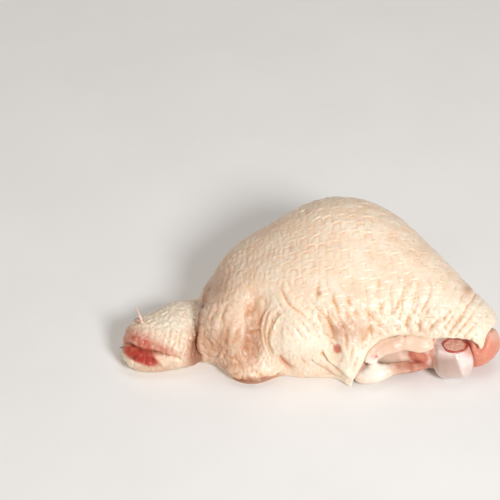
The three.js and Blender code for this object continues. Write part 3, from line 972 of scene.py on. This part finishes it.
def skin_relief(co, at, facing):
    """How far the skin stands out, how far it is drawn right and up in the view, and how much painted shade
    its creases give it.
    """
    front = ramp(0.0, 0.3, facing)
    tail = on_tail(at, co)
    thigh = 1 - tail
    thigh_height, line = thigh_relief(at, co, front)
    edge_height, drawn = edge_relief(at)
    broad = broad_relief(at) + edge_height - SLIT_DEPTH * band(at, SLIT, SLIT_WIDTH, 0.08)
    broad += TAIL_FOLD_HEIGHT * band(at, TAIL_FOLD, TAIL_FOLD_WIDTH)
    height = thigh_height * thigh + tail_relief(at, co, front) * tail + broad * front
    return height, drawn * front[:, None], line * thigh


def skin_marks(piece, co, at, facing, outer, crease):
    """Stores the shares of each colour on the skin, painted light and shade among them."""
    front = ramp(-0.1, 0.25, facing)
    tail = on_tail(at, co)
    blotch = 0.5 + 0.5 * noise(co, 5, 20)
    ragged = 0.85 + 0.25 * noise(co, 2.6, 21) + 0.2 * noise(co, 1.1, 23)
    # Painted shade in the gap between tail and flank.
    crevice_shade = band(at, CREVICE_SHADE, CREVICE_SHADE_WIDTH)
    # Brown: real zones and spots, with painted shade in the valley, on the left flap, on the tail and in the
    # gap by the flank.
    brown = blotched(at, BROWN_AND_SHADE, blotch) + tail * (TAN_OF_TAIL + patches(at, SHADE_ON_TAIL)) + 0.9 * crevice_shade
    brown += patches(at, [(place, (size, size), 0, SPOT_SOFTNESS, share) for place, size, share in SPOTS])
    # Painted shade: the thigh's left side darkens into tan.
    for sides, strength, broken in SHADED_LEFT_PARTS:
        brown += strength * zone(at, sides) * (1 - tail) * (1 - broken * (1 - blotch))
    red = patches(at, RED) + tail * ragged * patches(at, BLUSH)
    red += tail * ramp(0.2, 0.6, ragged) * patches(at, BLOOD)
    # Painted shade in the slit, over the red of its raw flesh.
    slit = 0.75 * band(at, SLIT, SLIT_SHADE_WIDTH, 0.05, (0.9, 0.5)) * (0.7 + 0.3 * noise(co, 2, 22))
    # Dark: painted shade in the slit, by the flank and under its lower edge, and a real dark spot on the
    # tail.
    dark = tail * (slit + patches(at, SPOT_AND_SHADE_ON_TAIL)) + 0.45 * crevice_shade + blotched(at, SHADE_UNDER_FLANK, blotch)
    shown = front * outer
    raw = tail * patches(at, RAW)
    store(piece, brown=brown * shown, red=red * shown, raw=raw * shown, dark=dark * shown)
    # The painted shade of the creases, and painted light where the light falls brightest.
    store(piece, crease=crease, pale=patches(at, PAINTED_LIGHT) * front)


# ---------------------------------------------------------------- pieces

def make_skin():
    piece = piece_from("skin", "skin_surface", SKIN_EDGE)
    mesh = piece.data
    co = places(mesh)
    normals = normals_of(mesh)
    edges = edges_of(mesh)
    within = tree_over(*map(cad_mesh, ("meat", "fat", "femur")))
    apart = np.empty(len(co))
    turned = np.empty(len(co))
    for i, (p, n) in enumerate(zip(co, normals)):
        found, _, _, far = within.find_nearest(p)
        apart[i] = far
        turned[i] = (found - Vector(p)).dot(n) / max(far, 1e-9)
    # Where the skin is thin, between flank and tail, only its turning away from the flesh tells the outside.
    thin_there = ramp(-20 * MM, -30 * MM, co[:, 0]) * ramp(-0.4, -0.7, turned)
    outer = np.maximum(ramp(1 * MM, 2 * MM, apart), thin_there) * ramp(0.35, 0, turned)
    outer = smoothed(outer, edges, 2)
    grounded = ramp(0.4 * MM, 3 * MM, co[:, 2])
    co = smoothed(co, edges, 4, 0.5)
    co = smoothed(co, edges, 36, 0.5 * ramp(0.6, 1.0, outer) * grounded)
    put(mesh, co)

    # The side that lies on the flesh needs few faces.
    group = piece.vertex_groups.new(name="inner")
    inner = smoothed(outer, edges, 3) < 0.15
    group.add([int(i) for i in np.nonzero(inner)[0]], 1.0, "REPLACE")
    store(piece, outer=outer, depth=apart / DEEPEST)
    kept = 1 - 0.8 * inner.mean()
    only = {"vertex_group": "inner", "vertex_group_factor": 10}
    applied(piece, "DECIMATE", decimate_type="COLLAPSE", ratio=kept, **only)
    mesh = piece.data
    sight = in_sight(mesh)
    store(piece, sight=sight)
    towards_camera = normals_of(mesh) @ TO_CAMERA
    subdivide(piece, (stored(piece, "outer") > 0.05) & (towards_camera > -0.05) & (sight > 0.02))

    mesh = piece.data
    outer = stored(piece, "outer")
    depth = stored(piece, "depth") * DEEPEST / MM
    edges = edges_of(mesh)
    co = smoothed(places(mesh), edges, 3, 0.5 * ramp(0.3, 0.9, outer))
    put(mesh, co)
    normals = normals_of(mesh)
    broad = smoothed(normals, edges, 12)
    broad /= np.linalg.norm(broad, axis=1, keepdims=True)
    facing = np.minimum(broad @ TO_CAMERA, 2 * stored(piece, "sight") - 1)
    at = seen(co)
    free = ramp(0.3, 0.85, outer) * ramp(0.3 * MM, 3 * MM, co[:, 2])
    height, drawn, line = skin_relief(co, at, facing)
    height = np.maximum(height, 0.7 - depth)
    co = co + normals * (height * free * MM)[:, None]
    co += (drawn[:, :1] * np.array([1, 0, 0]) + drawn[:, 1:] * UP_IN_VIEW) * (free * MM)[:, None]
    # The rim of the opening wavers.
    rim = patches(at, RIM) * ramp(-22 * MM, -26 * MM, co[:, 1])
    along_rim = co * [1, 0.2, 0.2]
    waver = 0.6 * noise(along_rim, 4.5, 24) + 0.35 * noise(along_rim, 2, 25)
    co += UP_IN_VIEW * (rim * waver * MM)[:, None]
    co[:, 2] = np.maximum(co[:, 2], 0)
    put(mesh, co)
    normals = normals_of(mesh)
    fine = hollow_depth(co, normals, edges, 6)
    wide = hollow_depth(co, normals, edges, 40)
    # Painted shade: warm tan where the skin lies in fine and wide hollows and along the folds.
    crease = ramp(0.03, 0.22, fine) * 0.7 + ramp(0.15, 1.1, wide) * 0.6 + 0.6 * line
    skin_marks(piece, co, at, facing, outer, crease * ramp(0.2, 0.8, outer))
    return finish_piece(piece, "skin", skin_look())


def to_skin(co):
    """How far each point is from the CAD skin."""
    tree = tree_over(cad_mesh("skin"))
    return np.array([tree.find_nearest(p)[3] for p in co])


def make_flesh():
    piece = piece_from("meat", "flesh", FLESH_EDGE, OPENING, [BY_THE_BONE])
    mesh = piece.data
    edges = edges_of(mesh)
    co = places(mesh)
    muscle_end = ramp(*MUSCLE_END, seen(co)[RIGHT])
    co = smoothed(co, edges, 30, 0.5 * (0.4 + 0.6 * muscle_end))
    put(mesh, co)
    normals = normals_of(mesh)
    covered = smoothed(ramp(1.6 * MM, 0.9 * MM, to_skin(co)) * ramp(5 * MM, 9 * MM, co[:, 2]), edges, 4)
    at = seen(co)
    front = ramp(-0.2, 0.1, normals @ TO_CAMERA) * ramp(*OPENING_LEFT, at[RIGHT])
    # Drawn in under the skin, and out to meet fat, bone and skin where it shows.
    co += normals * (MM * (0.55 * front * (1 - covered) - 1.3 * covered))[:, None]
    below = ramp(-0.3, -0.7, normals[:, 2]) * ramp(8 * MM, 4 * MM, co[:, 2])
    fibres = 0.2 * noise(co * [0.3, 1, 1], 1.6, 30) + 0.35 * noise(co * [0.4, 1, 1], 4, 31)
    height = fibres * (front * (1 - 0.6 * muscle_end) + 0.6 * below)
    height += 0.3 * noise(co * [1, 1, 0.35], 2.2, 35) * muscle_end
    height += ((puffs(co, 2.6, 33) - PUFF_LEVEL) * patches(at, GRAIN) - patches(at, BLOOD_DIP)) * front
    height += creases(at, FLESH_GROOVES)[0] * front
    co = raised(mesh, co, normals, height)
    # Painted shade where the flesh lies in hollows.
    crease = ramp(0.05, 0.5, hollow_depth(co, normals_of(mesh), edges, 8))
    spot = patches(at, BLOOD_SPOT) * front
    outline = np.clip(spot - patches(at, BLOOD_MIDDLE), 0, 1) * (0.6 + 0.4 * noise(co, 1.5, 32))
    strands = patches(at, STRANDS) * ramp(-0.2, 0.5, noise(co * [0.5, 1, 1], 1.2, 34))
    top = ramp(*MUSCLE_TOP, at[DOWN]) * muscle_end
    store(
        piece,
        crease=crease,
        tan=patches(at, TAN_FLESH) * front + 0.7 * top,
        pale=(patches(at, PALE_FLESH) + strands) * front,
        salmon=0.95 * muscle_end * (1 - 0.6 * top),
        red=0.75 * spot + patches(at, BLOOD_ROUND) * front,
        dark=0.75 * outline * front,
    )
    return finish_piece(piece, "meat", flesh_look())


def make_fat():
    piece = piece_from("fat", "fat_lobes", SMALL_EDGE, OPENING)
    mesh = piece.data
    edges = edges_of(mesh)
    co = smoothed(places(mesh), edges, 10)
    put(mesh, co)
    at = seen(co)
    # Swollen to meet the skin's edge and the flesh.
    height = 0.6 + 0.8 * ramp(2.2 * MM, 0.6 * MM, to_skin(co)) - 0.9 * zone(at, THIN_STRIP)
    height += creases(at, FAT_GROOVES)[0] + patches(at, FAT_BUMP)
    height += 0.35 * noise(co, 4, 40) + 0.2 * noise(co, 1.8, 41)
    co = raised(mesh, co, normals_of(mesh), height)
    hollow = hollow_depth(co, normals_of(mesh), edges, 8)
    store(
        piece,
        # Real pink patches, and painted shade where the fat lies in hollows.
        pink=patches(at, FAT_PINK) + 0.3 * ramp(0.05, 0.5, hollow),
        flesh=zone(at, FLESHY_STRIP) * (0.8 + 0.3 * noise(co, 2, 42)),
        white=patches(at, FAT_WHITE),
        vein=0.6 * sum(band(at, route, FAT_VEIN_WIDTH) for route in FAT_VEINS),
    )
    return finish_piece(piece, "fat", fat_look())


def make_bone():
    piece = piece_from("femur", "bone_end", SMALL_EDGE, BONE_BOX)
    mesh = piece.data
    flat = ramp(0.9, 0.99, normals_of(mesh)[:, 2])
    co = smoothed(places(mesh), edges_of(mesh), 14, 0.5 * (1 - 0.9 * flat))
    put(mesh, co)
    at = seen(co)
    normals = normals_of(mesh)
    front = ramp(0, 0.3, normals @ TO_CAMERA) * ramp(0.95, 0.8, normals[:, 2])
    past_ridge = at[RIGHT] - RIDGE_RIGHT - RIDGE_LEAN * (at[DOWN] - RIDGE_DOWN)
    left_facet = ramp(1.6, -1.6, past_ridge) * ramp(*FACET_TOP, at[DOWN])
    height = 0.25 - 0.5 * left_facet - patches(at, FACET_DIP)
    height += creases(at, BONE_CREASES)[0]
    raised(mesh, co, normals, height * front)
    shade = 0.95 * left_facet * (0.6 + patches(at, FACET_MIDDLE)) + patches(at, BONE_SHADE)
    blush = 0.9 * ramp(*BONE_WING, at[RIGHT]) * front + patches(at, BONE_BLUSH)
    store(piece, shade=shade * front, blush=blush)
    return finish_piece(piece, "femur", bone_look())


def make_marrow():
    """The disc of marrow in the sawn bone, in rings from its rim to its middle."""
    rings, around, base_depth = 24, 96, 1.2
    centre = np.array(SAWN_FACE) * MM
    radii = np.array([*MARROW_RADII, 0]) * MM
    turn = 2 * pi * np.arange(around) / around
    wobble = 1 + 0.05 * np.sin(3 * turn + 1) + 0.03 * np.sin(5 * turn)
    rim = radii * np.stack([wobble * np.cos(turn), wobble * np.sin(turn), turn], axis=1)
    up = np.array([0, 0, MM])
    rows = []
    for share in np.arange(rings, -1, -1) / rings:
        dome = 0.25 + 0.25 * np.exp(-(((share - 0.88) / 0.09) ** 2)) - 0.9 * ramp(0.94, 1, share)
        rows.append(centre + rim * share + up * dome)
    bm = bmesh.new()
    ringed(bm, centre - up * base_depth, rows[:-1], rows[-1][0])
    piece = piece_of(bm, "marrow")
    co = places(piece.data)
    away = np.hypot((co[:, 0] - centre[0]) / radii[0], (co[:, 1] - centre[1]) / radii[1])
    co[:, 2] += 0.18 * MM * noise(co, 1.3, 50) * ramp(1, 0.9, away)
    put(piece.data, co)
    store(piece, rim=ramp(0.72, 0.86, away + 0.06 * noise(co, 1.6, 51)))
    return finish_piece(piece, None, marrow_look())


def make_quills(skin):
    """Tapered stubs that stand in the skin, each foot where the view's ray meets it."""
    rings, around, sunk, base_depth, bend = 10, 12, 1.0, 1.4, 0.06
    tree = tree_over(skin.data)
    turn = 2 * pi * np.arange(around) / around
    bm = bmesh.new()
    brown = []
    for foot, heading, length, radii, share_brown in QUILLS:
        ray = -TO_CAMERA * FOCAL_PIXELS - UP_IN_VIEW * (foot[DOWN] - PIXELS / 2)
        ray[0] += foot[RIGHT] - PIXELS / 2
        start = np.array(tree.ray_cast(Vector(CAMERA_AT), Vector(ray))[0])
        way = np.array([heading[0], 0, 0]) + heading[1] * UP_IN_VIEW + heading[2] * TO_CAMERA
        way /= np.linalg.norm(way)
        side = np.cross(way, TO_CAMERA)
        side /= np.linalg.norm(side)
        circle = np.outer(np.cos(turn), side) + np.outer(np.sin(turn), np.cross(way, side))
        rows = []
        for share in np.arange(rings + 1) / rings:
            radius = (radii[0] + (radii[1] - radii[0]) * share) * (1 - share**8) ** 0.5
            bow = UP_IN_VIEW * (bend * length * sin(pi * share))
            rows.append(start + (way * (length * share - sunk) + bow + circle * radius) * MM)
        ringed(bm, start - way * base_depth * MM, rows[:-1], rows[-1][0])
        brown += [share_brown] * (rings * around + 2)
    piece = piece_of(bm, "quills")
    store(piece, brown=np.array(brown))
    return finish_piece(piece, None, quill_look())


# ---------------------------------------------------------------- scene

FLOOR_HALF = 3.0
LOOKED_AT = (0, 0, 0.02)  # the point that the lamps face

# Lamps: name, place and width in metres, watts and tint.
LAMPS = [
    ("key", (0.5, -0.85, 0.72), 0.35, 10.2, (0.97, 0.98, 1)),
    ("top", (0.1, 0.15, 1.1), 0.7, 2.2, (1, 1, 1)),
    ("fill", (-0.8, -0.5, 0.5), 0.6, 1.15, (1, 0.9, 0.77)),
]
SURROUNDINGS = (1, 0.94, 0.88, 1)
SURROUNDINGS_STRENGTH = 0.3


def make_floor():
    mesh = bpy.data.meshes.new("floor")
    corners = [(x * FLOOR_HALF, y * FLOOR_HALF, 0) for x, y in ((-1, -1), (1, -1), (1, 1), (-1, 1))]
    mesh.from_pydata(corners, [], [(0, 1, 2, 3)])
    mesh.materials.append(floor_look())
    new_object("floor", mesh)


def make_lamp(name, place, width, watts, tint):
    data = bpy.data.lights.new(name, "AREA")
    data.shape = "DISK"
    data.size = width
    data.energy = watts
    data.color = tint
    lamp = new_object(name, data)
    lamp.location = place
    lamp.rotation_euler = (Vector(LOOKED_AT) - Vector(place)).to_track_quat("-Z", "Y").to_euler()


def make_camera():
    data = bpy.data.cameras.new("camera")
    data.sensor_width = 36
    data.lens = FOCAL_PIXELS * data.sensor_width / PIXELS
    data.clip_start = 0.05
    camera = new_object("camera", data)
    camera.location = CAMERA_AT
    camera.rotation_euler = (pi / 2 - ELEVATION, 0, 0)
    bpy.context.scene.camera = camera


def make_surroundings():
    scene = bpy.context.scene
    scene.world = bpy.data.worlds.new("studio")
    scene.world.use_nodes = True
    background = scene.world.node_tree.nodes["Background"]
    background.inputs["Color"].default_value = SURROUNDINGS
    background.inputs["Strength"].default_value = SURROUNDINGS_STRENGTH
    scene.view_settings.view_transform = "Standard"
    for lamp in LAMPS:
        make_lamp(*lamp)


make_camera()
make_surroundings()
make_floor()
make_quills(make_skin())
make_flesh()
make_fat()
make_bone()
make_marrow()
